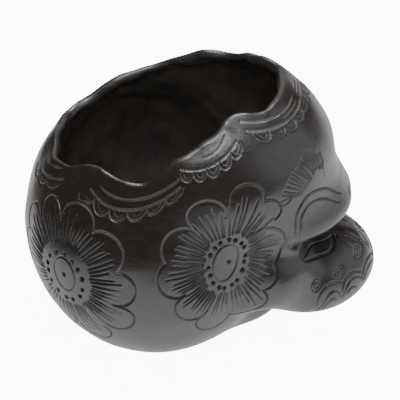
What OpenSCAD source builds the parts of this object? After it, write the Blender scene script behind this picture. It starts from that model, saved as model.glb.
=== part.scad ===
// Skull-shaped bowl of black clay with a wavy rim.
// The clay skin is a smooth union of ellipsoids. Every piece is cut from that skin along
// rays that leave one point inside the bowl, so neighbours meet face to face.
// The face looks along -Y, +Z is up, and the flat foot rests on z = 0.

/* [Cranium] */
// Width of the round back lobe, side to side
back_width = 142; // [136:1:148]
// Length of the back lobe, front to back
back_length = 133; // [128:1:138]
// Height of the back lobe before its foot is flattened
back_height = 141; // [137:1:145]
// Height of the middle of the back lobe above the table
back_middle = 65.5; // [64:0.5:67]
// Width of the forehead lobe
forehead_width = 116; // [110:1:122]
// Length of the forehead lobe
forehead_length = 130; // [126:1:136]
// Height of the forehead lobe
forehead_height = 98; // [95:1:104]
// How far the forehead lobe lies in front of the back lobe
forehead_advance = 23; // [20:1:26]
// How far the forehead lobe lies above the back lobe
forehead_rise = 40.5; // [38:0.5:43]
// Thickness of the clay wall
wall = 5.5; // [4.5:0.5:7]

/* [Rim] */
// Height of the middle of the opening above the table
rim_height = 132.5; // [129:0.5:136]
// Slope of the opening, down towards the back
rim_slope = 18.7; // [15:0.1:22]
// How strongly the rim waves, as a share of the usual rise
rim_wave = 1; // [0.6:0.1:1.2]
// Height of the rim coil below the mean line of the rim
rim_band = 13; // [11:1:16]

/* [Face] */
// Width of the bar of the two brows
brow_width = 72; // [66:1:76]
// Height of the brow bar
brow_height = 28; // [26:1:32]
// Width of the jaw
jaw_width = 68; // [62:1:72]
// Length of the jaw's ellipsoid, front to back
jaw_length = 74; // [70:1:76]
// Height of the jaw's ellipsoid
jaw_height = 50; // [46:1:52]
// Height of the front of the jaw's underside above the table
jaw_underside = 29.5; // [28:0.5:31]
// Thickness of the pressed jaw and of the slab under it
jaw_wall = 6; // [5:0.5:7]
// Width of the nose ridge
nose_width = 13; // [11:1:15]
// Width of the vent hole through the slab, which lets steam out of the jaw in the kiln
vent_width = 4; // [3:0.5:6]

/* [Hidden] */

clay = "#2b2a2c";
clay_light = "#3a393b";
around = 96;                  // columns round the bowl
least = 0.6;                  // least thickness at a piece's thin edge

// Lobes: [middle, half-axes]
back_y = 22;
back_lobe = [[0, back_y, back_middle], [back_width, back_length, back_height] / 2];
forehead_lobe = [[0, back_y - forehead_advance, back_middle + forehead_rise],
                 [forehead_width, forehead_length, forehead_height] / 2];
neck_lobe = [[0, back_y - 44, 26.5], [26, 22, 17]];
brow_lobe = [[0, back_y - 70, 84.5], [brow_width, 54, brow_height] / 2];
jaw_lobe = [[0, back_y - 73, 44.5], [jaw_width, jaw_length, jaw_height] / 2];
cheek_lobe = [[27, back_y - 55, 55], [19, 25, 20]];
nose_lobe = [[0, back_y - 92, 57.5], [nose_width / 2, 10.5, 7]];
lobe_blend = 11;              // softness of the joint of two lobes
neck_blend = 9;
cheek_blend = 8;
jaw_blend = [3, 13];          // softness of the jaw's joint, under it and above it
brow_blend = [2.5, 13, 15];   // softness of the brow's joint: under its middle, its ends, above it
nose_blend = 2.5;

heart = [0, back_y, 71.5];    // every ray leaves from here
rim_middle_y = 8;
pad_angle = 72.5;             // steepness of the cone that bounds the foot
seam_angle = 0;               // the two walls meet on the level of the heart

// Crests and dips of the rim: [azimuth from the face, rise over the mean line]
rim_points = [[-180, 1], [-157, -1], [-136, 1.5], [-104, -7], [-86, 0], [-68, 2.5],
              [-48, 6], [-22, -1.5], [0, -2], [22, -3], [46, 1], [68, -3], [88, 1],
              [110, 0], [134, 2], [157, -2], [180, 1]];

// The lip from outside to inside: [share of the wall, drop under the rim's edge]
lip = [[0, 1.6], [0.07, 0.5], [0.24, 0], [0.5, 0], [0.76, 0.2], [0.94, 1], [1, 2.6]];

// Which lobes a skin is made of
BOWL = 0;
FACE = 1;
NOSE = 2;

function soft_step(x, a, b) = let(t = max(0, min(1, (x - a) / (b - a)))) t * t * (3 - 2 * t);

// Rough signed distance of a point from an ellipsoid, negative inside
function away(p, lobe) =
    let(c = lobe[0], a = lobe[1],
        q = [(p.x - c.x) / a.x, (p.y - c.y) / a.y, (p.z - c.z) / a.z],
        k = norm(q))
    k * (k - 1) / max(norm([q.x / a.x, q.y / a.y, q.z / a.z]), 0.000001);

// Smooth union of two distances
function merge(a, b, k) =
    let(h = max(0, min(1, 0.5 + 0.5 * (b - a) / k)))
    b * (1 - h) + a * h - k * h * (1 - h);

function bowl_field(p) =
    max(merge(merge(away(p, back_lobe), away(p, forehead_lobe), lobe_blend),
              away(p, neck_lobe), neck_blend),
        -p.z);

// Height of the jaw's underside, which curves up towards the neck
function underside(y) = jaw_underside + 0.012 * pow(max(0, y - back_y + 80), 2);

function jaw_field(p) =
    max(merge(away(p, jaw_lobe), away(p, cheek_lobe), cheek_blend), underside(p.y) - p.z);

function face_field(p) =
    let(under = jaw_blend[0]
                + (jaw_blend[1] - jaw_blend[0]) * soft_step(p.z, jaw_underside, jaw_underside + 16),
        below = brow_blend[0] + (brow_blend[1] - brow_blend[0]) * soft_step(abs(p.x), 20, 38),
        brow = below + (brow_blend[2] - below) * soft_step(p.z, 73.5, 95.5))
    merge(merge(bowl_field(p), jaw_field(p), under), away(p, brow_lobe), brow);

function clay_field(p, lobes) =
    let(q = [abs(p.x), p.y, p.z])
    lobes == BOWL ? bowl_field(q) :
    lobes == FACE ? face_field(q) :
    merge(face_field(q), away(q, nose_lobe), nose_blend);

// A ray's direction: azimuth from the face (-Y) towards +X, and angle over the level
function ray(az, up) = [cos(up) * sin(az), -cos(up) * cos(az), sin(up)];

// How far along a ray the skin lies, or the surface at some depth under it
function reach(d, lobes, depth, low = 15, high = 135, n = 15) =
    n == 0 ? (low + high) / 2 :
    let(mid = (low + high) / 2)
    clay_field(heart + d * mid, lobes) + depth < 0
        ? reach(d, lobes, depth, mid, high, n - 1)
        : reach(d, lobes, depth, low, mid, n - 1);

function skin(az, up, lobes, depth = 0) =
    let(d = ray(az, up)) heart + d * reach(d, lobes, depth);

// Rise of the rim's waves at an azimuth, easing from crest to dip
function wave(az, i = 0) =
    let(a = rim_points[i], b = rim_points[i + 1])
    az > b[0] && i < len(rim_points) - 2 ? wave(az, i + 1) :
    rim_wave * (a[1] + (b[1] - a[1]) * (1 - cos(180 * (az - a[0]) / (b[0] - a[0]))) / 2);

// Height of the mean line of the opening over a point, and of the waves on it
function opening(p) = rim_height - (p.y - rim_middle_y) * tan(rim_slope);
function top_edge(p) = opening(p) + wave(atan2(p.x, rim_middle_y - p.y));

// Angle over the level at which the skin meets the rim (waves) or the coil's foot
function edge_angle(az, waves, low = 5, high = 85, n = 12) =
    n == 0 ? (low + high) / 2 :
    let(mid = (low + high) / 2, p = skin(az, mid, BOWL))
    p.z < (waves ? top_edge(p) : opening(p) - rim_band)
        ? edge_angle(az, waves, mid, high, n - 1)
        : edge_angle(az, waves, low, mid, n - 1);

// The jaw's seams, as angles over the level at an azimuth
function crease(az) = -1 - 0.11 * abs(az);
function jaw_edge(az) = -22.2 - 0.0115 * az * az - 0.0000073 * pow(az, 4);
function jaw_low(az) = abs(az) < 27 ? jaw_edge(az) : jaw_edge(27) + 0.022 * pow(abs(az) - 27, 2);
function palate_back(az) = -33 - 0.0028 * az * az;
function brow_top(az) = 16 - 0.0055 * az * az;

// Closed solid from rows of loops that run round the bowl
module ring_solid(loops) {
    rows = len(loops);
    n = len(loops[0]);
    points = [for (loop = loops) each loop];
    faces = [for (i = [0 : rows - 1], j = [0 : n - 1])
        let(a = i * n + j,
            b = i * n + (j + 1) % n,
            c = ((i + 1) % rows) * n + (j + 1) % n,
            d = ((i + 1) % rows) * n + j)
        each [[a, b, c], [a, c, d]]];
    polyhedron(points, faces);
}

// Closed solid between an outer and an inner grid of points
module patch_solid(outer, inner) {
    rows = len(outer);
    n = len(outer[0]);
    half = rows * n;
    points = [for (row = outer) each row, for (row = inner) each row];
    function sheet(base, flip) = [for (i = [0 : rows - 2], j = [0 : n - 2])
        let(a = base + i * n + j, b = a + 1, c = b + n, d = a + n)
        each (flip ? [[a, c, b], [a, d, c]] : [[a, b, c], [a, c, d]])];
    function side(a, b) = [[a, b + half, a + half], [a, b, b + half]];
    edges = [for (j = [0 : n - 2]) each side(j + 1, j),
             for (i = [0 : rows - 2]) each side(i * n, (i + 1) * n),
             for (j = [0 : n - 2]) each side((rows - 1) * n + j, (rows - 1) * n + j + 1),
             for (i = [0 : rows - 2]) each side((i + 2) * n - 1, (i + 1) * n - 1)];
    polyhedron(points, concat(sheet(0, false), sheet(half, true), edges));
}

// A patch of the face between two angles, over some inner lobes
module face_piece(azimuths, low, high, rows, lobes, inner_lobes, depth) {
    function up(az, t) = low(az) + (high(az) - low(az)) * t / rows;
    outer = [for (az = azimuths) [for (t = [0 : rows])
        let(d = ray(az, up(az, t)),
            out = reach(d, lobes, 0),
            under = reach(d, inner_lobes, 0))
        heart + d * max(out, under + least)]];
    inner = [for (az = azimuths) [for (t = [0 : rows])
        let(d = ray(az, up(az, t)),
            under = reach(d, inner_lobes, 0))
        heart + d * (depth == 0 ? under : max(under, reach(d, lobes, depth)))]];
    patch_solid(outer, inner);
}

// Cone-sided pat of clay in the middle of the foot
module base_pad() {
    color(clay)
    translate([0, back_y, 0])
    cylinder(h = wall,
             r1 = heart.z / tan(pad_angle),
             r2 = (heart.z - wall) / tan(pad_angle),
             $fn = around);
}

// Lower wall of the bowl, from the pad to the seam
module lower_bowl() {
    angles = [-pad_angle, -70, -67.5, for (a = [-64 : 4 : -4]) a, seam_angle];
    color(clay)
    ring_solid([for (i = [0 : around - 1])
        let(az = i * 360 / around)
        concat([for (a = angles) skin(az, a, BOWL)],
               [for (k = [len(angles) - 1 : -1 : 0]) skin(az, angles[k], BOWL, wall)])]);
}

// Upper wall, from the seam to the foot of the rim coil
module upper_wall() {
    rows = 9;
    color(clay)
    ring_solid([for (i = [0 : around - 1])
        let(az = i * 360 / around, top = edge_angle(az, false))
        concat([for (t = [0 : rows]) skin(az, seam_angle + (top - seam_angle) * t / rows, BOWL)],
               [for (t = [rows : -1 : 0])
                   skin(az, seam_angle + (top - seam_angle) * t / rows, BOWL, wall)])]);
}

// Coil round the opening, pinched into waves, with a flat lip
module wavy_rim() {
    rows = 4;
    color(clay_light)
    ring_solid([for (i = [0 : around - 1])
        let(az = i * 360 / around,
            low = edge_angle(az, false),
            top = edge_angle(az, true),
            per_mm = 180 / (PI * reach(ray(az, top), BOWL, 0)),
            side = top - per_mm * lip[0][1],
            inside = top - per_mm * lip[len(lip) - 1][1])
        concat([for (t = [0 : rows - 1]) skin(az, low + (side - low) * t / rows, BOWL)],
               [for (l = lip) skin(az, top - per_mm * l[1], BOWL, l[0] * wall)],
               [for (t = [rows - 1 : -1 : 0])
                   skin(az, low + (inside - low) * t / rows, BOWL, wall)])]);
}

// One half of the brow bar, on the forehead
module brow_half(azimuths) {
    color(clay_light)
    face_piece(azimuths, function(a) crease(a), function(a) brow_top(a), 12, FACE, BOWL, 0);
}

module brow_left() {
    brow_half([-30 : 2 : 0]);
}

module brow_right() {
    brow_half([0 : 2 : 30]);
}

// Pressed hollow jaw with the cheeks
module snout_shell() {
    color(clay_light)
    face_piece([for (a = [-45 : 3 : 45]) a], function(a) jaw_low(a), function(a) crease(a), 16,
               FACE, BOWL, jaw_wall);
}

// Slab that closes the jaw underneath
module palate_slab() {
    color(clay_light)
    difference() {
        face_piece([for (a = [-27 : 3 : 27]) a], function(a) palate_back(a),
                   function(a) jaw_edge(a), 6, FACE, BOWL, jaw_wall);
        translate([0, back_y - 84, jaw_underside - 1])
        cylinder(h = jaw_wall + 2, d = vent_width, $fn = 32);
    }
}

// Ridge of the nose on the jaw, under the brow
module nose_ridge() {
    color(clay_light)
    face_piece([for (a = [-5 : 1 : 5]) a], function(a) -18, function(a) crease(a), 14,
               NOSE, FACE, 0);
}

base_pad();
lower_bowl();
upper_wall();
wavy_rim();
brow_left();
brow_right();
snout_shell();
palate_slab();
nose_ridge();
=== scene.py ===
"""Skull-shaped bowl of burnished black clay, carved with flowers, swags and a stylised face.

The clay skin follows the same lobes as the frame. Lengths are in millimetres of the drawing
and are turned into the row frame's metres by to_row().
"""
import math

import bpy
import numpy as np
from mathutils import Matrix, Vector


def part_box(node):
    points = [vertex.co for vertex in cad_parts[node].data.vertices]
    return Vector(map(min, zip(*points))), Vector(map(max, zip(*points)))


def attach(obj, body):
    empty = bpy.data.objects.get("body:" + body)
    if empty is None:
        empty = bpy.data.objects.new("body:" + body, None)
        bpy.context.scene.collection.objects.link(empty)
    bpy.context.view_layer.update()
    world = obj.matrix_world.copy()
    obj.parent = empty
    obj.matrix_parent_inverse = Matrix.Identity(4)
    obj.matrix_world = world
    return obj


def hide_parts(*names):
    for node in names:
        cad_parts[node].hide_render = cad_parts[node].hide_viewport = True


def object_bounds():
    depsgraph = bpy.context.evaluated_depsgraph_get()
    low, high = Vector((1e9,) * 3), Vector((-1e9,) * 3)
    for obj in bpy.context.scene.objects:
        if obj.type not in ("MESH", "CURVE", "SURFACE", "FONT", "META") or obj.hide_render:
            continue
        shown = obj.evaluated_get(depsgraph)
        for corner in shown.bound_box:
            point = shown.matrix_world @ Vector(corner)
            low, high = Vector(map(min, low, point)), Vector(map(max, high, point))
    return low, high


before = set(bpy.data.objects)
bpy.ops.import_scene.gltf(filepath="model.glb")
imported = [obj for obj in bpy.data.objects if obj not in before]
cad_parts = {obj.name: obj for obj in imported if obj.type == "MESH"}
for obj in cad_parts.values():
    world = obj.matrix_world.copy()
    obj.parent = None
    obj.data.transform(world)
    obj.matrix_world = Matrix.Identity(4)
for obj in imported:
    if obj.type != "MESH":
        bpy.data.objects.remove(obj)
frame_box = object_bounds()
rng = np.random.default_rng(7)

# ---------------------------------------------------------------- the frame's measures
low_box, high_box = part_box("lower_bowl")
pad_low, pad_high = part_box("base_pad")
MM = (high_box.x - low_box.x) / 142.0
BACK_Y = 22.0
ORIGIN = np.array([(pad_low.x + pad_high.x) / 2, (pad_low.y + pad_high.y) / 2 - BACK_Y * MM, pad_low.z])


def to_row(points):
    return np.asarray(points) * MM + ORIGIN


WALL = 5.5
JAW_WALL = 6.0
LEAST = 0.6
PAD_ANGLE = 72.5
RIM_HEIGHT = 132.5
RIM_SLOPE = math.tan(math.radians(18.7))
RIM_Y = 8.0
RIM_BAND = 13.0
JAW_UNDER = 29.5
HEART = np.array([0.0, BACK_Y, 71.5])
CORE = np.array([0.0, 12.0, 81.5])            # the flowers are laid out from here


def lobe(middle, half):
    return np.array(middle, float), np.array(half, float)


BACK = lobe((0, 22, 65.5), (71, 66.5, 70.5))
FOREHEAD = lobe((0, -1, 106), (58, 65, 49))
NECK = lobe((0, -22, 26.5), (26, 22, 17))
BROW = lobe((0, -48, 84.5), (36, 27, 14))
JAW = lobe((0, -51, 44.5), (34, 37, 25))
CHEEK = lobe((27, -33, 55), (19, 25, 20))
NOSE = lobe((0, -70, 57.5), (6.5, 10.5, 7))
RIM_POINTS = ((-180, 1), (-157, -1), (-136, 1.5), (-104, -7), (-86, 0), (-68, 2.5), (-48, 6),
              (-22, -1.5), (0, -2), (22, -3), (46, 1), (68, -3), (88, 1), (110, 0), (134, 2),
              (157, -2), (180, 1))


# ---------------------------------------------------------------- the clay skin
def soft_step(x, a, b):
    t = np.clip((x - a) / (b - a), 0, 1)
    return t * t * (3 - 2 * t)


def away(p, shape):
    q = (p - shape[0]) / shape[1]
    k = np.sqrt((q * q).sum(-1))
    g = q / shape[1]
    return k * (k - 1) / np.maximum(np.sqrt((g * g).sum(-1)), 1e-6)


def merge(a, b, k):
    h = np.clip(0.5 + 0.5 * (b - a) / k, 0, 1)
    return b * (1 - h) + a * h - k * h * (1 - h)


def bowl_field(p):
    body = merge(merge(away(p, BACK), away(p, FOREHEAD), 11), away(p, NECK), 9)
    return -merge(-body, p[..., 2], 1.6)


def full_field(p, no_nose=False):
    q = p.copy()
    q[..., 0] = np.abs(q[..., 0])
    z = q[..., 2]
    under = JAW_UNDER + 0.012 * np.maximum(0, q[..., 1] + 58) ** 2
    jaw = merge(away(q, JAW), away(q, CHEEK), 8)
    jaw = -merge(-jaw, z - under, 1.2)
    clay = merge(bowl_field(q), jaw, 3 + 10 * soft_step(z, 29.5, 45.5))
    below = 2.5 + 10.5 * soft_step(q[..., 0], 20, 38)
    clay = merge(clay, away(q, BROW), below + (15 - below) * soft_step(z, 73.5, 95.5))
    return clay if no_nose else merge(clay, away(q, NOSE), 2.5)


def face_field(p):
    """The full skin without the nose ridge."""
    return full_field(p, True)


def ray(az, up):
    a, u = np.radians(az), np.radians(up)
    return np.stack([np.cos(u) * np.sin(a), -np.cos(u) * np.cos(a), np.sin(u) + 0 * a], -1)


def reach(start, d, field, depth=0.0, low=15.0, high=135.0, steps=20):
    lo = np.full(d.shape[:-1], low)
    hi = np.full(d.shape[:-1], high)
    for _ in range(steps):
        mid = (lo + hi) / 2
        inside = field(start + d * mid[..., None]) + depth < 0
        lo = np.where(inside, mid, lo)
        hi = np.where(inside, hi, mid)
    return (lo + hi) / 2


def wave(az):
    a = (np.asarray(az, float) + 180) % 360 - 180
    x = np.array([p[0] for p in RIM_POINTS], float)
    y = np.array([p[1] for p in RIM_POINTS], float)
    i = np.clip(np.searchsorted(x, a, side="right") - 1, 0, len(x) - 2)
    s = (a - x[i]) / (x[i + 1] - x[i])
    return y[i] + (y[i + 1] - y[i]) * (1 - np.cos(np.pi * s)) / 2


def opening(y):
    return RIM_HEIGHT - (y - RIM_Y) * RIM_SLOPE


def edge_angle(az, rise, drop):
    """Angle over the level at which the skin meets the opening's plane plus its waves, less drop."""
    lo = np.full(az.shape, 5.0)
    hi = np.full(az.shape, 85.0)
    for _ in range(18):
        mid = (lo + hi) / 2
        d = ray(az, mid)
        p = HEART + d * reach(HEART, d, bowl_field)[..., None]
        turn = np.degrees(np.arctan2(p[..., 0], RIM_Y - p[..., 1]))
        below = p[..., 2] < opening(p[..., 1]) + rise * wave(turn) - drop
        lo = np.where(below, mid, lo)
        hi = np.where(below, hi, mid)
    return (lo + hi) / 2


def crease(az):
    return -1 - 0.11 * np.abs(az)


def jaw_edge(az):
    return -22.2 - 0.0115 * az ** 2 - 0.0000073 * az ** 4


def jaw_low(az):
    a = np.abs(az)
    return np.where(a < 27, jaw_edge(a), jaw_edge(27.0) + 0.022 * (a - 27) ** 2)


def palate_back(az):
    return -33 - 0.0028 * az ** 2


def brow_top(az):
    return 16 - 0.0055 * az ** 2


OUTSIDE, LEFT_BROW, RIGHT_BROW, JAW_SHELL, SLAB = range(5)


def face_region(az, up, shrink=0.0):
    """Which piece of the face covers a direction. The left brow is on the -X side."""
    a = np.abs(az) + shrink
    seam = crease(az)
    brow = (a <= 30) & (up >= seam) & (up <= brow_top(az) - shrink)
    jaw = (a <= 45) & (up >= jaw_low(az) + shrink * (a > 27)) & (up < seam)
    slab = (a <= 27) & (up >= palate_back(az) + shrink) & (up < jaw_edge(az))
    out = np.full(a.shape, OUTSIDE)
    out[slab] = SLAB
    out[jaw] = JAW_SHELL
    out[brow] = np.where(az[brow] < 0, LEFT_BROW, RIGHT_BROW)
    return out


def sines(count, shortest, longest, seed):
    """A few plane waves that together make a hand-made unevenness."""
    r = np.random.default_rng(seed)
    d = r.normal(size=(count, 3))
    d /= np.linalg.norm(d, axis=1, keepdims=True)
    k = d * (2 * np.pi / r.uniform(shortest, longest, count))[:, None]
    return k, r.uniform(0, 2 * np.pi, count)


def uneven(p, waves):
    k, phase = waves
    total = np.zeros(p.shape[:-1])
    for kk, ph in zip(k, phase):
        total += np.sin(p @ kk + ph)
    return total / math.sqrt(len(k))


HAND = sines(9, 16, 42, 3)
PINCH = sines(9, 11, 26, 5)


def grid_normals(p, ring):
    if ring:
        across = np.roll(p, -1, 1) - np.roll(p, 1, 1)
    else:
        across = np.gradient(p, axis=1)
    along = np.gradient(p, axis=0)
    n = np.cross(across, along)
    return n / np.maximum(np.linalg.norm(n, axis=-1, keepdims=True), 1e-9)


def smooth_curve(points, per=10, closed=False):
    """Catmull-Rom curve through some points."""
    p = np.asarray(points, float)
    if closed:
        p = np.vstack([p[-1], p, p[0], p[1]])
    else:
        p = np.vstack([2 * p[0] - p[1], p, 2 * p[-1] - p[-2]])
    out = []
    for i in range(1, len(p) - 2):
        t = np.linspace(0, 1, per, endpoint=False)[:, None]
        a, b, c, e = p[i - 1], p[i], p[i + 1], p[i + 2]
        out.append(0.5 * (2 * b + (c - a) * t + (2 * a - 5 * b + 4 * c - e) * t ** 2
                          + (3 * b - a - 3 * c + e) * t ** 3))
    out.append(p[-2][None, :])
    return np.vstack(out)


# ---------------------------------------------------------------- the bowl's grid
COLUMNS = 1000
az_ring = -180 + np.arange(COLUMNS) * 360 / COLUMNS
rim_top = edge_angle(az_ring, 1.0, 0.0)
rim_foot = edge_angle(az_ring, 0.0, RIM_BAND)
per_mm = 180 / (np.pi * reach(HEART, ray(az_ring, rim_top), bowl_field))
rim_top = rim_top + per_mm * 0.35 * uneven(ray(az_ring, 0 * az_ring) * 60, HAND)
# The lip from outside to inside: share of the wall, drop under the rim's edge
LIP = ((0, 2.6), (0.05, 1.3), (0.2, 0.3), (0.44, 0), (0.72, 0.2), (0.92, 1), (1, 2.6))
rim_side = rim_top - per_mm * LIP[0][1]
rim_inside = rim_top - per_mm * LIP[-1][1]

rows_up, rows_depth, rows_kind = [], [], []


def add_row(up, depth, kind):
    rows_up.append(np.broadcast_to(up, az_ring.shape).astype(float))
    rows_depth.append(np.full(az_ring.shape, float(depth)))
    rows_kind.append(kind)


for a in list(np.arange(-PAD_ANGLE, -66, 0.25)) + list(np.arange(-66, -34, 1.15)):
    add_row(a, 0, "lower")
for a in np.arange(-34, -0.2, 0.4):
    add_row(a, 0, "lower")
add_row(0, 0, "seam")
for t in np.linspace(0, 1, 113)[1:]:
    add_row(rim_foot * t, 0, "upper" if t < 1 else "neck")
for t in np.linspace(0, 1, 35)[1:]:
    add_row(rim_foot + (rim_side - rim_foot) * t, 0, "rim")
for share_in, drop in smooth_curve(LIP, 5)[1:-1]:
    add_row(rim_top - per_mm * drop, WALL * max(share_in, 0.004), "rim")
for t in np.linspace(1, 0, 11):
    add_row(rim_foot + (rim_inside - rim_foot) * t, WALL, "rim" if t > 0 else "neck")
for t in np.linspace(1, 0, 25)[1:-1]:
    add_row(rim_foot * t, WALL, "upper")
add_row(0, WALL, "seam")
for a in np.linspace(0, -PAD_ANGLE, 37)[1:]:
    add_row(a, WALL, "lower")

ring_up = np.array(rows_up)
ring_depth = np.array(rows_depth)
ring_az = np.broadcast_to(az_ring, ring_up.shape).copy()
outer_rows = int((ring_depth[:, 0] == 0).sum())
d = ray(ring_az, ring_up)
ring_r = reach(HEART, d, full_field, ring_depth)
ring_bowl = reach(HEART, d, bowl_field, ring_depth)
inner_row = ring_depth > 0
ring_r = np.where(inner_row, ring_bowl, ring_r)
ring_p = HEART + d * ring_r[..., None]
calm = soft_step(ring_p[..., 2], 2, 16)
bumps = 0.2 * uneven(ring_p, HAND) * calm
pinch = 0.45 * uneven(ring_p, PINCH) * calm * soft_step(ring_depth, WALL * 0.5, WALL)
# The waves of the rim also lean: the dips flare out and the crests draw in
lean = np.clip(-0.32 * wave(ring_az), -1.3, 1.6) + 0.35 * uneven(ring_p, PINCH)
lean = lean * soft_step(ring_up, rim_top - per_mm * 14, rim_top)
ring_p = ring_p + d * (bumps + pinch + lean)[..., None]
ring_n = grid_normals(ring_p, True)

# ---------------------------------------------------------------- the face's grid
az_face = np.arange(-46, 46.01, 0.2)
fine_up = np.arange(-38, 18.01, 0.1)
fd = ray(az_face[None, :], fine_up[:, None] + 0 * az_face[None, :])
fr = reach(HEART, fd, full_field, steps=17)
fp = HEART + fd * fr[..., None]
step = np.linalg.norm(np.diff(fp, axis=0), axis=-1) + 0.02
length = np.vstack([np.zeros(len(az_face)), np.cumsum(step, axis=0)])
length /= length[-1]
FACE_ROWS = 340
share = np.linspace(0, 1, FACE_ROWS)
face_up = np.stack([np.interp(share, length[:, j], fine_up) for j in range(len(az_face))], 1)
face_az = np.broadcast_to(az_face, face_up.shape).copy()
fd = ray(face_az, face_up)
face_r = reach(HEART, fd, full_field)
face_plain = reach(HEART, fd, face_field)
face_bowl = reach(HEART, fd, bowl_field)
face_in = reach(HEART, fd, face_field, JAW_WALL)
face_p = HEART + fd * face_r[..., None]
face_p = face_p + fd * (0.2 * uneven(face_p, HAND))[..., None]
face_n = grid_normals(face_p, False)

# ---------------------------------------------------------------- carving
pool_p = np.concatenate([ring_p[:outer_rows].reshape(-1, 3), face_p.reshape(-1, 3)])
pool_depth = np.zeros(len(pool_p))
pool_groove = np.full(len(pool_p), -1.5)
pool_stamp = np.full(len(pool_p), -1.5)      # how far inside a stamped band a point lies
pool_beat = np.zeros(len(pool_p))            # where it lies along the band, in marks
CELL = 2.5
CELL_SHIFT = 200                             # keeps every cell's number above 0
CELL_SPAN = 1000                             # more cells than there are along any axis


def cell_keys(points):
    """One number for the cell that each point lies in."""
    c = np.floor(points / CELL).astype(np.int64) + CELL_SHIFT
    return (c[:, 0] * CELL_SPAN + c[:, 1]) * CELL_SPAN + c[:, 2]


pool_key = cell_keys(pool_p)
cell_order = np.argsort(pool_key, kind="stable")
sorted_key = pool_key[cell_order]
AROUND = np.array([(i * CELL_SPAN + j) * CELL_SPAN + k
                   for i in (-1, 0, 1) for j in (-1, 0, 1) for k in (-1, 0, 1)])


def near(points):
    """The pool's points in the cells round some points."""
    keys = np.unique((np.unique(cell_keys(points))[:, None] + AROUND[None, :]).ravel())
    a = np.searchsorted(sorted_key, keys, side="left")
    b = np.searchsorted(sorted_key, keys, side="right")
    parts = [cell_order[i:j] for i, j in zip(a, b) if j > i]
    return np.concatenate(parts) if parts else np.zeros(0, int)


def carve(path, half, depth, end=None, dash=0.0, taper=0.0, soft=0.35):
    """A groove along a path on the skin. end is the half width at the far end, dash the pitch of
    stamped marks along it, taper the length over which both ends fade, soft the slope beside it."""
    path = np.asarray(path, float)
    seg = path[1:] - path[:-1]
    seg_len = np.linalg.norm(seg, axis=1)
    keep = seg_len > 1e-6
    a, seg, seg_len = path[:-1][keep], seg[keep], seg_len[keep]
    if len(seg) == 0:
        return
    start = np.concatenate([[0], np.cumsum(seg_len)])[:-1]
    total = seg_len.sum()
    ids = near(path)
    if len(ids) == 0:
        return
    q = pool_p[ids]
    best = np.full(len(q), 1e9)
    along = np.zeros(len(q))
    for i in range(len(seg)):
        w = q - a[i]
        t = np.clip((w @ seg[i]) / seg_len[i] ** 2, 0, 1)
        e = w - t[:, None] * seg[i]
        dist = (e * e).sum(1)
        closer = dist < best
        best[closer] = dist[closer]
        along[closer] = (start[i] + t * seg_len[i])[closer]
    best = np.sqrt(best)
    hw = half + ((end if end is not None else half) - half) * along / total
    if taper > 0:
        rim = np.minimum(along, total - along)
        hw = hw * (0.35 + 0.65 * np.clip(rim / taper, 0, 1))
    shape = np.clip(1 - np.maximum(0, best - hw * 0.35) / (hw * 0.65 + soft), 0, 1)
    shape = shape * shape * (3 - 2 * shape)
    pool_depth[ids] = np.maximum(pool_depth[ids], depth * shape)
    mark = np.clip(hw - best, -1.5, 1.5)
    if dash > 0:
        closer = mark > pool_stamp[ids]
        pool_beat[ids[closer]] = (along / dash)[closer]
        pool_stamp[ids] = np.maximum(pool_stamp[ids], mark)
    else:
        pool_groove[ids] = np.maximum(pool_groove[ids], mark)


def pit(middle, radius, depth):
    ids = near(middle[None, :])
    dist = np.linalg.norm(pool_p[ids] - middle, axis=1)
    shape = soft_step(-dist, -radius - 0.25, -radius * 0.45)
    pool_depth[ids] = np.maximum(pool_depth[ids], depth * shape)
    pool_groove[ids] = np.maximum(pool_groove[ids], np.clip(radius - dist, -1.5, 1.5))


def on_heart(points):
    """Skin points at azimuths and angles over the level, seen from the heart."""
    p = np.asarray(points, float)
    v = ray(p[:, 0], p[:, 1])
    return HEART + v * reach(HEART, v, full_field)[:, None]


def on_side(middle, uv):
    """Skin points laid out round a point as they look from the -X side, a little from above."""
    look = np.array([-0.8, -0.1, 0.59])
    u = np.array([0.12, -0.99, 0.0])
    v = np.cross(look, u)
    v = v if v[2] > 0 else -v
    q = middle + uv[:, :1] * u + uv[:, 1:] * v
    lo, hi = np.full(len(q), -12.0), np.full(len(q), 12.0)
    for _ in range(18):
        mid = (lo + hi) / 2
        inside = full_field(q + look * mid[:, None]) < 0
        lo, hi = np.where(inside, mid, lo), np.where(inside, hi, mid)
    return q + look * lo[:, None]


def both_sides(path):
    return path, path * np.array([-1.0, 1.0, 1.0])


class Flower:
    """Flat layout round a point of the skin: u towards the face, v up, in millimetres."""

    def __init__(self, az, up):
        self.c = ray(np.array(az), np.array(up))
        a = math.radians(az)
        self.u = np.array([math.cos(a), math.sin(a), 0.0])
        v = np.cross(self.c, self.u)
        self.v = v if v[2] > 0 else -v
        self.r = reach(CORE, self.c[None, :], full_field)[0]

    def __call__(self, uv):
        uv = np.asarray(uv, float).reshape(-1, 2)
        size = np.linalg.norm(uv, axis=1)
        side = (uv[:, :1] * self.u + uv[:, 1:] * self.v) / np.maximum(size, 1e-9)[:, None]
        r = np.full(len(uv), self.r)
        for _ in range(3):
            turn = 2 * size / (self.r + r)
            v = self.c * np.cos(turn)[:, None] + side * np.sin(turn)[:, None]
            r = reach(CORE, v, full_field, low=20, steps=18)
        return CORE + v * r[:, None]


def bearing(deg, radius):
    a = np.radians(deg)
    return np.stack([np.sin(a) * radius, np.cos(a) * radius], -1)


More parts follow.
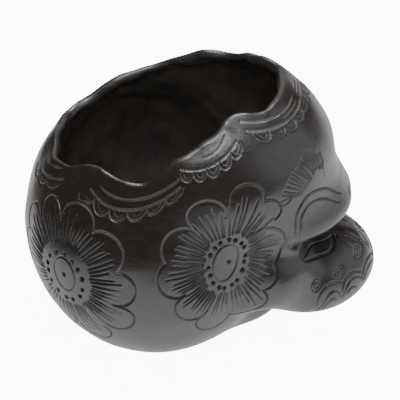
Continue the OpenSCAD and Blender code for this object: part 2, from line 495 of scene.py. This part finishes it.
def oval(middle, half, lean=0.0, count=40, start=0, stop=360):
    """An ellipse, or the part of it between two bearings in degrees clockwise from its top."""
    t = np.radians(np.linspace(start, stop, count + 1))
    x, y = half[0] * np.sin(t), half[1] * np.cos(t)
    a = math.radians(lean)
    return np.stack([middle[0] + x * math.cos(a) + y * math.sin(a),
                     middle[1] - x * math.sin(a) + y * math.cos(a)], -1)


def draw_flower(at, petals, heart_oval, lean, centre, eye, pit_ring, pits, ray_start, rays, ray_stop, roped):
    shapes = []
    for deg, out, wide in petals:
        tall = 0.9 * wide
        shapes.append((bearing(deg, out - tall), deg, tall, wide))
    t = np.radians(np.arange(0, 360, 3.0))
    limit = np.full(360, 20.0)
    strokes = []
    for n, (mid, deg, tall, wide) in enumerate(shapes):
        axis, side = bearing(deg, 1.0), bearing(deg + 90, 1.0)
        loop = mid + np.cos(t)[:, None] * tall * axis + np.sin(t)[:, None] * wide * side
        keep = np.cos(t) > -0.45
        for m, (mid2, deg2, tall2, wide2) in enumerate(shapes):
            if m == n:
                continue
            gap = loop - mid2
            out, across = gap @ bearing(deg2, 1.0) / tall2, gap @ bearing(deg2 + 90, 1.0) / wide2
            keep &= out ** 2 + across ** 2 >= 0.97
        turned = (np.degrees(np.arctan2(loop[:, 0], loop[:, 1])) % 360).astype(int)
        size = np.linalg.norm(loop, axis=1)
        for k in range(-1, 2):
            np.maximum.at(limit, (turned + k) % 360, size)
        order = np.roll(np.arange(len(t)), len(t) // 2)
        run = []
        for i in order:
            if keep[i]:
                run.append(loop[i])
            elif run:
                strokes.append((run, petals[n][0]))
                run = []
        if run:
            strokes.append((run, petals[n][0]))
    for run, deg in strokes:
        if len(run) < 4:
            continue
        for side in both_sides(at(run)):
            if deg in roped:
                carve(side, 0.62, 0.4, dash=1.25)
            else:
                carve(side, 0.4, 0.8, taper=1.0)
    for side in both_sides(at(oval(centre, heart_oval, lean))):
        carve(side, 0.34, 0.5)
    for side in both_sides(at([eye])):
        pit(side[0], 1.2, 1.0)
    for k in range(pits):
        a = 360 * k / pits + rng.uniform(-4, 4)
        p = bearing(a, 1.0) * np.array(pit_ring[0]) + np.array(pit_ring[1]) + rng.uniform(-0.35, 0.35, 2)
        size = rng.uniform(1.05, 1.3)
        for side in both_sides(at([p])):
            pit(side[0], size, 1.5)
    for k in range(rays):
        a = 360 * k / rays + rng.uniform(-1.3, 1.3)
        inner = np.linalg.norm(bearing(a, 1.0) * np.array(ray_start)) * rng.uniform(0.97, 1.1)
        outer = limit[int(a) % 360] * ray_stop * rng.uniform(0.9, 1.04)
        if outer < inner + 3:
            outer = inner + 3
        radii = np.linspace(inner, outer, 18)
        bend = rng.uniform(-2, 2)
        line = at(bearing(a + bend * np.linspace(0, 1, 18) ** 2, radii))
        for side in both_sides(line):
            carve(side[:10], 0.62, 0.75, end=0.34, taper=1.2)
            carve(side[8:], 0.34, 0.55, end=0.13)


draw_flower(Flower(-60, -2),
            ((15, 43, 8), (36, 38, 7), (84, 30, 14), (127, 29, 9), (160, 38, 10), (191, 42, 9),
             (222, 35, 9), (264, 35, 10), (298, 35, 11), (340, 38, 9)),
            (6.8, 10.2), 9, (-1, 0.6), (0.8, 0.1), ((10, 14), (0, -0.3)), 17, (12, 16.5), 66, 0.87,
            (298, 340))
draw_flower(Flower(-129, -10),
            ((5, 38, 11), (50, 38, 12), (90, 39, 10), (124, 42, 9), (160, 43, 9), (197, 40, 10),
             (236, 38, 10), (265, 39, 9), (293, 41, 8), (325, 38, 8)),
            (7, 9), -8, (0, 0), (0, 0), ((12, 12.5), (-0.5, -2)), 14, (16, 17), 60, 0.84,
            (5, 50))


def on_rim(az, dz):
    """Skin points at azimuths round the opening and heights over its plane."""
    az, dz = np.asarray(az, float), np.asarray(dz, float)
    a = np.radians(az)
    lo, hi = np.full(az.shape, 20.0), np.full(az.shape, 78.0)
    for _ in range(20):
        mid = (lo + hi) / 2
        y = RIM_Y - mid * np.cos(a)
        p = np.stack([mid * np.sin(a), y, opening(y) + dz], -1)
        inside = full_field(p) < 0
        lo, hi = np.where(inside, mid, lo), np.where(inside, hi, mid)
    return p


def rim_stroke(az, dz, **how):
    """A stroke on the -X side and its twin on the +X side, which keeps its place under the rim."""
    az, dz = np.asarray(az, float), np.asarray(dz, float)
    carve(on_rim(az, dz), **how)
    carve(on_rim(-az, dz + wave(-az) - wave(az)), **how)


def swag(middle, half, e0, e1, sag, span=None, drop=4.2, plain_from=None, loops=(), loop_drop=4.8):
    def inner(az, extra=0.0, wide=half):
        x = (az - middle) / wide
        return (e0 + e1) / 2 + (e1 - e0) / 2 * x - sag * (1 - x * x) - extra

    wide = span or half
    for which, reach_az, extra in ((0, half, 0.0), (1, wide, drop)):
        az = np.linspace(middle - reach_az, middle + reach_az, 90)
        dz = inner(az, extra, reach_az)
        stop = len(az) if plain_from is None else int(len(az) * plain_from)
        rim_stroke(az[:stop], dz[:stop], half=0.75, depth=0.3, dash=1.15, soft=0.25)
        if plain_from is not None:
            rim_stroke(az[stop - 1:], dz[stop - 1:], half=0.34, depth=0.4)
            if which == 0:
                rim_stroke(az[stop - 1:], dz[stop - 1:] - drop / 2, half=0.26, depth=0.25, taper=3.0)
    if loops:
        start, stop_az, count = loops
        edge = np.linspace(start, stop_az, count + 1)
        for a0, a1 in zip(edge[:-1], edge[1:]):
            t = np.linspace(-1, 1, 33)
            az = (a0 + a1) / 2 + (a1 - a0) / 2 * t
            clipped = np.clip(az, middle - wide, middle + wide)
            base = inner(clipped, drop, wide) - 0.8
            dz = base - (loop_drop - 0.8) * np.sqrt(1 - t * t)
            rim_stroke(az, dz, half=0.34, depth=0.5, taper=1.0)
            az2 = (a0 + a1) / 2 + (a1 - a0) / 2 * t * 0.52
            dz2 = base - loop_drop * 0.45 * np.sqrt(1 - t * t)
            rim_stroke(az2, dz2, half=0.24, depth=0.28, taper=1.0)


swag(-107, 22, -3.3, -8.6, 7.75, loops=(-134, -83, 6))
swag(-69, 11, -0.6, 0.5, 3.65, span=16, loops=(-85, -51, 5))
swag(-23, 22, 1.9, -7.3, 3.5, plain_from=0.52, loops=(-43, 1, 5))
swag(-155, 9, -4.1, -1.3, 0.5, loops=(-172, -146, 3), loop_drop=4.2)


# ---------------------------------------------------------------- the face's drawing
# Places are degrees round the heart and over its level, on the -X side; both sides are carved
EYE_OUTER = (-22, -4)
EYE_INNER = (-6, -3.5)
LOWER_SAG = 2.3
UPPER_SAG = 0.3


def face_line(path, **how):
    for side in both_sides(on_heart(path)):
        carve(side, **how)


def lid(sag, count=40):
    """A line from the eye's outer tip to its inner one, which hangs by sag nearer the outer tip."""
    t = np.linspace(0, 1, count)
    return np.stack([EYE_OUTER[0] + (EYE_INNER[0] - EYE_OUTER[0]) * t,
                     EYE_OUTER[1] + (EYE_INNER[1] - EYE_OUTER[1]) * t - sag * np.sin(np.pi * t ** 0.8)], -1)


# The brow's arch and a smaller copy, shrunk towards a point under it
BROW_ARCH = smooth_curve(((-7, 13.5), (-13.5, 19.5), (-22, 22.5), (-27, 19.5), (-28, 14), (-28, 9)))
ARCH_FOOT = np.array([-20.0, 6.0])
face_line(BROW_ARCH, half=0.6, depth=0.6, taper=4)
face_line(ARCH_FOOT + (BROW_ARCH - ARCH_FOOT) * 0.8, half=0.55, depth=0.55, taper=4)
# Stamped bands run down its outer end: [place, angle of the band's top]
BAND_FOOT = 4
for az, top in ((-28.5, 13.5), (-26.5, 12), (-30.5, 12), (-25, 9)):
    band = smooth_curve(((az, top), (az + (top - BAND_FOOT) / 6, BAND_FOOT)))
    face_line(band, half=0.75, depth=0.3, dash=1.0, taper=2)

# Lashes fan from a low curve over the brow to a high one
LASHES = 19
lash_tips = smooth_curve(((-33, 28), (-26, 32.5), (-18, 34.5), (-12.5, 31)), 24)
lash_roots = smooth_curve(((-26, 24.5), (-21.5, 26.5), (-17, 28), (-13, 26)), 24)
for k in range(LASHES):
    i = int(round(k * (len(lash_tips) - 1) / (LASHES - 1)))
    tip, root = lash_tips[i] + rng.uniform(-0.5, 0.5, 2), lash_roots[i] + rng.uniform(-0.3, 0.3, 2)
    sag = (tip + root) / 2 + np.array([0.3, -0.5])
    face_line(smooth_curve((tip, sag, root)), half=0.46, depth=0.6, end=0.24, taper=1.2)
face_line(oval((-32.5, 25), (2.5, 0.8)), half=0.3, depth=0.4)
face_line(smooth_curve(((-14, 29), (-13, 23))), half=0.26, depth=0.3)
face_line(oval((0, 7), (3.5, 3.5), start=-90, stop=0), half=0.3, depth=0.3)

# Small double ovals follow the jaw round, and lean more towards its side
for az in (-21, -14.5, -6):
    middle = on_heart([(az, -7 - az ** 2 / 80)])[0]
    for size in (1.0, 0.45):
        for side in both_sides(on_side(middle, oval((0, 0), (2.2 * size, 3.5 * size), 6 - 0.4 * az))):
            carve(side, 0.3, 0.45)

# Teeth are nested arcs: [middle, half-axes, bearings of its ends, half width of the stroke]
TEETH = (((-16.5, -18), (4.5, 6), (-110, 15), 0.5),
         ((-17.5, -19.5), (2, 5), (-150, 60), 0.42),
         ((-17.5, -20), (1, 3), (-130, 45), 0.42),
         ((-11.5, -15), (4, 4.5), (-90, 40), 0.5),
         ((-11.5, -17), (3.5, 5), (-90, 50), 0.42),
         ((-12.5, -16.5), (1.5, 2), (-85, 70), 0.42),
         ((-4, -14), (5, 4), (-75, 53), 0.5),
         ((-4, -15.5), (4.5, 4), (-75, 63), 0.42))
for middle, half_axes, (start, stop), width in TEETH:
    face_line(oval(middle, half_axes, start=start, stop=stop), half=width, depth=0.55, taper=2)

# The nose: a line down its ridge, the wing, the nostril's hook and a small ring
face_line(smooth_curve(((-2, -4.5), (-0.5, -9))), half=0.4, depth=0.4, taper=1)
face_line(oval((-1, -4.5), (2.5, 3.5), start=-90, stop=-25), half=0.5, depth=0.6, taper=1)
face_line(oval((-5, -5), (1.5, 1.25), start=-180, stop=0), half=0.6, depth=0.8, taper=1)
face_line(oval((-3.5, -3), (1, 1)), half=0.3, depth=0.35)

# The almond eye: a deep lower lid and a thin outline
face_line(lid(LOWER_SAG), half=0.75, depth=1.0, taper=3)
for sag in (LOWER_SAG, UPPER_SAG):
    face_line(lid(sag), half=0.35, depth=0.5)


# The carving goes in along the skin's normal
ring_count = outer_rows * len(az_ring)
marks = np.stack([pool_groove, pool_stamp, pool_beat], -1)
BLANK = np.array([-1.5, -1.5, 0.0])
ring_marks = np.tile(BLANK, ring_up.shape + (1,))
ring_marks[:outer_rows] = marks[:ring_count].reshape(outer_rows, -1, 3)
ring_p[:outer_rows] -= ring_n[:outer_rows] * pool_depth[:ring_count].reshape(outer_rows, -1)[..., None]
face_marks = marks[ring_count:]
face_p = face_p - face_n * pool_depth[ring_count:].reshape(face_up.shape)[..., None]
ring_n = grid_normals(ring_p, True)
face_n = grid_normals(face_p, False)

# Under the face the bowl's wall stands back
region = face_region(ring_az[:outer_rows], ring_up[:outer_rows])
core = face_region(ring_az[:outer_rows], ring_up[:outer_rows], 0.8) > 0
d_out = ray(ring_az[:outer_rows], ring_up[:outer_rows])
behind = HEART + d_out * np.minimum(ring_bowl[:outer_rows], ring_r[:outer_rows] - LEAST)[..., None]
ring_p[:outer_rows] = np.where(core[..., None], behind,
                               ring_p[:outer_rows] - d_out * (0.03 * (region > 0))[..., None])


# ---------------------------------------------------------------- materials
def material(name):
    m = bpy.data.materials.new(name)
    m.use_nodes = True
    nt = m.node_tree
    for n in list(nt.nodes):
        nt.nodes.remove(n)
    out = nt.nodes.new("ShaderNodeOutputMaterial")
    shader = nt.nodes.new("ShaderNodeBsdfPrincipled")
    nt.links.new(shader.outputs[0], out.inputs[0])
    return m, nt, shader


def noise(nt, coord, scale, detail=4.0, rough=0.55, stretch=None):
    if stretch:
        m = nt.nodes.new("ShaderNodeMapping")
        m.inputs["Scale"].default_value = stretch
        nt.links.new(coord, m.inputs["Vector"])
        coord = m.outputs[0]
    n = nt.nodes.new("ShaderNodeTexNoise")
    n.inputs["Scale"].default_value = scale
    n.inputs["Detail"].default_value = detail
    n.inputs["Roughness"].default_value = rough
    nt.links.new(coord, n.inputs["Vector"])
    return n.outputs[0]


def remap(nt, value, a, b, c, e):
    n = nt.nodes.new("ShaderNodeMapRange")
    n.inputs["From Min"].default_value = a
    n.inputs["From Max"].default_value = b
    n.inputs["To Min"].default_value = c
    n.inputs["To Max"].default_value = e
    nt.links.new(value, n.inputs["Value"])
    return n.outputs[0]


def mix(nt, share, a, b):
    n = nt.nodes.new("ShaderNodeMix")
    n.data_type = "RGBA"
    for s, v in ((n.inputs[0], share), (n.inputs[6], a), (n.inputs[7], b)):
        if isinstance(v, (int, float)):
            s.default_value = v
        elif isinstance(v, tuple):
            s.default_value = (*v, 1)
        else:
            nt.links.new(v, s)
    return n.outputs[2]


def blend_value(nt, share, a, b):
    n = nt.nodes.new("ShaderNodeMix")
    n.data_type = "FLOAT"
    for s, v in ((n.inputs[0], share), (n.inputs[2], a), (n.inputs[3], b)):
        if isinstance(v, (int, float)):
            s.default_value = v
        else:
            nt.links.new(v, s)
    return n.outputs[0]


def attribute(nt, name):
    n = nt.nodes.new("ShaderNodeAttribute")
    n.attribute_name = name
    return n.outputs["Fac"]


def clay(name, plain=0.0):
    m, nt, shader = material(name)
    coord = nt.nodes.new("ShaderNodeTexCoord").outputs["Object"]
    big = noise(nt, coord, 28, 3)
    streak = noise(nt, coord, 120, 5, 0.6, (1, 1, 5))
    grain = noise(nt, coord, 1900, 3, 0.6)
    fine = noise(nt, coord, 700, 4, 0.6)
    groove = remap(nt, attribute(nt, "groove"), -0.12, 0.14, 0, 1)
    inside = attribute(nt, "inside")
    band = remap(nt, attribute(nt, "stamp"), -0.1, 0.12, 0, 1)
    wheel = nt.nodes.new("ShaderNodeMath")
    wheel.operation = "SINE"
    turns = nt.nodes.new("ShaderNodeMath")
    turns.operation = "MULTIPLY"
    turns.inputs[1].default_value = 2 * math.pi
    nt.links.new(attribute(nt, "beat"), turns.inputs[0])
    nt.links.new(turns.outputs[0], wheel.inputs[0])
    both = nt.nodes.new("ShaderNodeMath")
    both.operation = "MULTIPLY"
    nt.links.new(band, both.inputs[0])
    nt.links.new(remap(nt, wheel.outputs[0], 0.05, 0.4, 0, 1), both.inputs[1])
    stamp = both.outputs[0]
    polished = mix(nt, remap(nt, big, 0.35, 0.68, 0, 1), (0.0105, 0.0092, 0.0083), (0.0175, 0.0155, 0.014))
    polished = mix(nt, remap(nt, streak, 0.45, 0.75, 0, 0.5), polished, (0.026, 0.0232, 0.021))
    matte = mix(nt, remap(nt, fine, 0.35, 0.7, 0, 1), (0.0165, 0.0155, 0.0145), (0.036, 0.034, 0.032))
    raw = mix(nt, remap(nt, noise(nt, coord, 45, 5, 0.65), 0.4, 0.62, 0, 1), (0.034, 0.0305, 0.0275),
              (0.076, 0.059, 0.047))
    raw = mix(nt, remap(nt, fine, 0.5, 0.78, 0, 0.6), raw, (0.11, 0.09, 0.075))
    colour = mix(nt, inside, polished, raw)
    colour = mix(nt, groove, colour, matte)
    colour = mix(nt, stamp, colour, (0.12, 0.114, 0.105))
    rough = remap(nt, streak, 0.3, 0.75, 0.25, 0.37)
    rough = blend_value(nt, inside, rough, 0.58)
    rough = blend_value(nt, groove, rough, 0.7)
    rough = blend_value(nt, stamp, rough, 0.6)
    if plain:
        colour = mix(nt, plain, colour, raw)
        rough = blend_value(nt, plain, rough, 0.7)
    nt.links.new(colour, shader.inputs["Base Color"])
    nt.links.new(rough, shader.inputs["Roughness"])
    shader.inputs["IOR"].default_value = 1.8
    last = None
    for value, strength, distance in ((streak, 0.22, 0.00035), (fine, 0.12, 0.0002), (grain, 0.1, 0.00008)):
        b = nt.nodes.new("ShaderNodeBump")
        b.inputs["Strength"].default_value = strength
        b.inputs["Distance"].default_value = distance
        nt.links.new(value, b.inputs["Height"])
        if last:
            nt.links.new(last, b.inputs["Normal"])
        last = b.outputs[0]
    nt.links.new(last, shader.inputs["Normal"])
    return m


burnished = clay("burnished_clay")
plain_clay = clay("plain_clay", 0.75)


# ---------------------------------------------------------------- pieces
def make_piece(name, verts, quads, normals, marks, inside, mat, node):
    used = np.unique(quads)
    index = np.full(len(verts), -1)
    index[used] = np.arange(len(used))
    quads = index[quads].astype(np.int32)
    verts, normals = to_row(verts[used]), normals[used]
    me = bpy.data.meshes.new(name)
    me.vertices.add(len(verts))
    me.vertices.foreach_set("co", verts.astype(np.float32).ravel())
    me.loops.add(4 * len(quads))
    me.loops.foreach_set("vertex_index", quads.ravel())
    me.polygons.add(len(quads))
    me.polygons.foreach_set("loop_start", np.arange(0, 4 * len(quads), 4, dtype=np.int32))
    me.update(calc_edges=True)
    me.polygons.foreach_set("use_smooth", np.ones(len(quads), bool))
    for label, values in (("groove", marks[:, 0]), ("stamp", marks[:, 1]), ("beat", marks[:, 2]),
                          ("inside", inside)):
        me.attributes.new(label, "FLOAT", "POINT").data.foreach_set("value", values[used].astype(np.float32))
    me.normals_split_custom_set_from_vertices(normals.astype(np.float32))
    me.materials.append(mat)
    ob = bpy.data.objects.new(name, me)
    bpy.context.scene.collection.objects.link(ob)
    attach(ob, "root")
    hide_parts(node)
    return ob


flat = ring_p.reshape(-1, 3)
flat_n = ring_n.reshape(-1, 3)
flat_marks = ring_marks.reshape(-1, 3)
past_lip = int(np.nonzero(ring_depth[:, 0] == WALL)[0][0])
flat_inside = np.repeat(soft_step(np.arange(len(rows_kind)), past_lip - 1, past_lip + 3), len(az_ring))
kinds = np.array(rows_kind)


def ring_quads(rows):
    """Faces between the listed rows, taken as one closed loop."""
    rows = np.asarray(rows)
    a, b = rows, np.roll(rows, -1)
    j = np.arange(COLUMNS)
    k = (j + 1) % COLUMNS
    return np.stack([a[:, None] * COLUMNS + j, a[:, None] * COLUMNS + k,
                     b[:, None] * COLUMNS + k, b[:, None] * COLUMNS + j], -1).reshape(-1, 4)


for node, wanted in (("lower_bowl", ("lower", "seam")), ("upper_wall", ("seam", "upper", "neck")),
                     ("wavy_rim", ("neck", "rim"))):
    rows = [i for i, kind in enumerate(kinds) if kind in wanted]
    make_piece(node.replace("_", "-") + "-clay", flat, ring_quads(rows), flat_n, flat_marks, flat_inside,
               burnished, node)

# The pad in the middle of the foot: the loop's two ends, closed by discs
PAD_ROWS = 16
rings = []
for row, sign in ((0, -1.0), (len(kinds) - 1, 1.0)):
    edge_row = ring_p[row]
    middle = np.array([0, BACK_Y, edge_row[:, 2].mean()])
    for t in np.linspace(1, 0.02, PAD_ROWS):
        p = middle + (edge_row - middle) * t
        if sign < 0:
            p[:, 2] += 0.12 * (1 + uneven(p, PINCH)) * soft_step(1 - t, 0, 0.3)
        else:
            p[:, 2] += 0.3 * uneven(p, PINCH) * soft_step(1 - t, 0, 0.3)
        rings.append((p, sign))
pad_rows = [r[0] for r in rings[:PAD_ROWS]][::-1]            # middle to edge, underneath
pad_rows += [r[0] for r in rings[PAD_ROWS:]]                 # edge to middle, inside
pad_p = np.array(pad_rows)
pad_n = np.zeros_like(pad_p)
pad_n[:PAD_ROWS] = (0, 0, -1)
pad_n[PAD_ROWS:] = (0, 0, 1)
pad_quads = ring_quads(np.arange(2 * PAD_ROWS))
pad_inside = np.repeat(np.r_[np.zeros(PAD_ROWS), np.ones(PAD_ROWS)], COLUMNS)
make_piece("base-pad-clay", pad_p.reshape(-1, 3), pad_quads, pad_n.reshape(-1, 3),
           np.tile(BLANK, (pad_p.shape[0] * COLUMNS, 1)), pad_inside, plain_clay, "base_pad")


def mask_quads(mask, rows, cols):
    """Outer, inner and side faces of the masked cells of a grid. The inner grid follows the outer one."""
    i, j = np.nonzero(mask)
    half = rows * cols

    def at(ii, jj, inner=0):
        return ii * cols + jj + inner * half

    faces = [np.stack([at(i, j), at(i, j + 1), at(i + 1, j + 1), at(i + 1, j)], -1),
             np.stack([at(i, j, 1), at(i + 1, j, 1), at(i + 1, j + 1, 1), at(i, j + 1, 1)], -1)]
    wide = np.pad(mask, 1)
    for di, dj, a, b in ((-1, 0, (0, 1), (0, 0)), (0, 1, (1, 1), (0, 1)), (1, 0, (1, 0), (1, 1)),
                         (0, -1, (0, 0), (1, 0))):
        free = mask & ~wide[1 + di:1 + di + mask.shape[0], 1 + dj:1 + dj + mask.shape[1]]
        i, j = np.nonzero(free)
        faces.append(np.stack([at(i + a[0], j + a[1]), at(i + b[0], j + b[1]),
                               at(i + b[0], j + b[1], 1), at(i + a[0], j + a[1], 1)], -1))
    return np.concatenate(faces)


rows, cols = face_up.shape
mid_az = (face_az[:-1, :-1] + face_az[1:, 1:]) / 2
mid_up = (face_up[:-1, :-1] + face_up[1:, 1:] + face_up[:-1, 1:] + face_up[1:, :-1]) / 4
cells = face_region(mid_az, mid_up)
VENT = np.array([0.0, BACK_Y - 84])
VENT_R = 2.0
off = face_p[..., :2] - VENT
off_r = np.linalg.norm(off, axis=-1)
cell_r = (off_r[:-1, :-1] + off_r[1:, 1:] + off_r[:-1, 1:] + off_r[1:, :-1]) / 4
hole = (cell_r < VENT_R) & (cells == SLAB)


def corners(mask):
    """The grid's points at the corners of the masked cells."""
    out = np.zeros(face_up.shape, bool)
    for di in (0, 1):
        for dj in (0, 1):
            out[di:rows - 1 + di, dj:cols - 1 + dj] |= mask
    return out


# The points between the hole and the slab move onto the hole's circle
snap = corners(hole) & corners((cells == SLAB) & ~hole)
face_p[snap, :2] = VENT + off[snap] / off_r[snap][:, None] * VENT_R

under = np.minimum(face_bowl, face_r - LEAST)
under_jaw = np.clip(face_in, under, face_r - LEAST)
inner_brow = HEART + fd * under[..., None]
inner_jaw = HEART + fd * under_jaw[..., None]
inner_jaw[snap, :2] = face_p[snap, :2]
nose_cells = (np.abs(mid_az) < 5.2) & (mid_up > -18) & (mid_up < crease(mid_az))
rise = face_r - face_plain
rise_cell = np.minimum.reduce([rise[:-1, :-1], rise[1:, 1:], rise[:-1, 1:], rise[1:, :-1]])
nose_cells &= rise_cell > 0.12
nose_core = np.zeros(face_up.shape, bool)
nose_core[1:-1, 1:-1] = (nose_cells[:-1, :-1] & nose_cells[1:, 1:]
                         & nose_cells[:-1, 1:] & nose_cells[1:, :-1])
sunk = np.minimum(face_plain, face_r - 0.1)
jaw_top = np.where(nose_core[..., None], HEART + fd * sunk[..., None], face_p)
nose_under = HEART + fd * (sunk + 0.02)[..., None]
nothing = np.tile(BLANK, (face_up.size, 1))
for node, mask, top, base in (("brow_left", cells == LEFT_BROW, face_p, inner_brow),
                              ("brow_right", cells == RIGHT_BROW, face_p, inner_brow),
                              ("snout_shell", cells == JAW_SHELL, jaw_top, inner_jaw),
                              ("palate_slab", (cells == SLAB) & ~hole, face_p, inner_jaw),
                              ("nose_ridge", nose_cells, face_p, nose_under)):
    quads = mask_quads(mask, rows, cols)
    verts = np.concatenate([top.reshape(-1, 3), base.reshape(-1, 3)])
    normals = np.concatenate([face_n.reshape(-1, 3), -fd.reshape(-1, 3)])
    plain = node == "palate_slab"
    make_piece(node.replace("_", "-") + "-clay", verts, quads, normals,
               np.concatenate([face_marks, nothing]), np.zeros(len(verts)),
               plain_clay if plain else burnished, node)


# ---------------------------------------------------------------- table, light and camera
def table_material(name, glow):
    m, nt, shader = material(name)
    coord = nt.nodes.new("ShaderNodeTexCoord").outputs["Object"]
    fleck = noise(nt, coord, 60, 3)
    tone = mix(nt, remap(nt, fleck, 0.3, 0.7, 0, 1), (0.9, 0.9, 0.9), (0.93, 0.93, 0.93))
    nt.links.new(tone, shader.inputs["Base Color"])
    shader.inputs["Roughness"].default_value = 0.9
    shader.inputs["Specular IOR Level"].default_value = 0.1
    nt.links.new(tone, shader.inputs["Emission Color"])
    shader.inputs["Emission Strength"].default_value = glow
    return m


TABLE_EDGE = -0.31


def slab(name, along, across, mat):
    me = bpy.data.meshes.new(name)
    z = float(frame_box[0][2])
    (x0, x1), (y0, y1) = along, across
    me.from_pydata([(x0, y0, z), (x1, y0, z), (x1, y1, z), (x0, y1, z)], [], [(0, 1, 2, 3)])
    me.materials.append(mat)
    ob = bpy.data.objects.new(name, me)
    bpy.context.scene.collection.objects.link(ob)
    return ob


floor = slab("floor", (-2.2, 2.2), (-2.2, 2.2), table_material("table_paper", 12.0))
floor.visible_glossy = floor.visible_diffuse = False
# The same table as the clay reflects it: it ends in front of the pot and on its left
bounce = slab("floor_bounce", (TABLE_EDGE, 2.2), (-2.2, 0.25), table_material("table_glow", 0.95))
bounce.location.z = -0.0005
bounce.visible_camera = False


def panel(name, place, aim, width, height, radiance, glossy=True, diffuse=True):
    light = bpy.data.lights.new(name, "AREA")
    light.shape = "RECTANGLE"
    light.size, light.size_y = width, height
    light.energy = radiance * math.pi * width * height
    ob = bpy.data.objects.new(name, light)
    ob.location = place
    ob.rotation_euler = (Vector(aim) - Vector(place)).to_track_quat("-Z", "Y").to_euler()
    ob.visible_camera = False
    ob.visible_glossy = glossy
    ob.visible_diffuse = diffuse
    bpy.context.scene.collection.objects.link(ob)
    return ob


panel("overhead", (0.02, 0.0, 0.95), (0.02, 0.0, 0.1), 0.6, 0.9, 2.6, glossy=False)
panel("overhead_shine", (0.08, 0.0, 0.95), (0.08, 0.0, 0.1), 0.9, 0.42, 20.0, diffuse=False)
panel("right_panel", (-0.15, -1.15, 0.56), (-0.1, 0, 0.1), 1.7, 0.95, 0.68)
panel("far_panel", (1.3, 0.1, 0.55), (0, 0, 0.1), 1.6, 0.7, 0.5)
panel("fill", (-0.75, -0.2, 1.0), (0, 0, 0.1), 0.8, 0.8, 2.4, glossy=False)
world = bpy.data.worlds.new("studio")
world.use_nodes = True
world.node_tree.nodes["Background"].inputs["Color"].default_value = (0.12, 0.103, 0.092, 1)
world.node_tree.nodes["Background"].inputs["Strength"].default_value = 1.0
bpy.context.scene.world = world

# The camera looks down at the -X side
tilt, turn = math.radians(36), math.radians(6.9)
right = Vector((math.sin(turn), -math.cos(turn), 0))
back = Vector((-math.cos(tilt) * math.cos(turn), -math.cos(tilt) * math.sin(turn), math.sin(tilt)))
up = back.cross(right)
lens = bpy.data.cameras.new("camera")
lens.sensor_width = 36
lens.lens = 180
camera = bpy.data.objects.new("camera", lens)
camera.rotation_euler = Matrix((right, up, back)).transposed().to_euler()
camera.location = Vector(to_row(CORE)) + (back * 1000 + right * 11.5 - up * 6) * MM
bpy.context.scene.collection.objects.link(camera)
bpy.context.scene.camera = camera
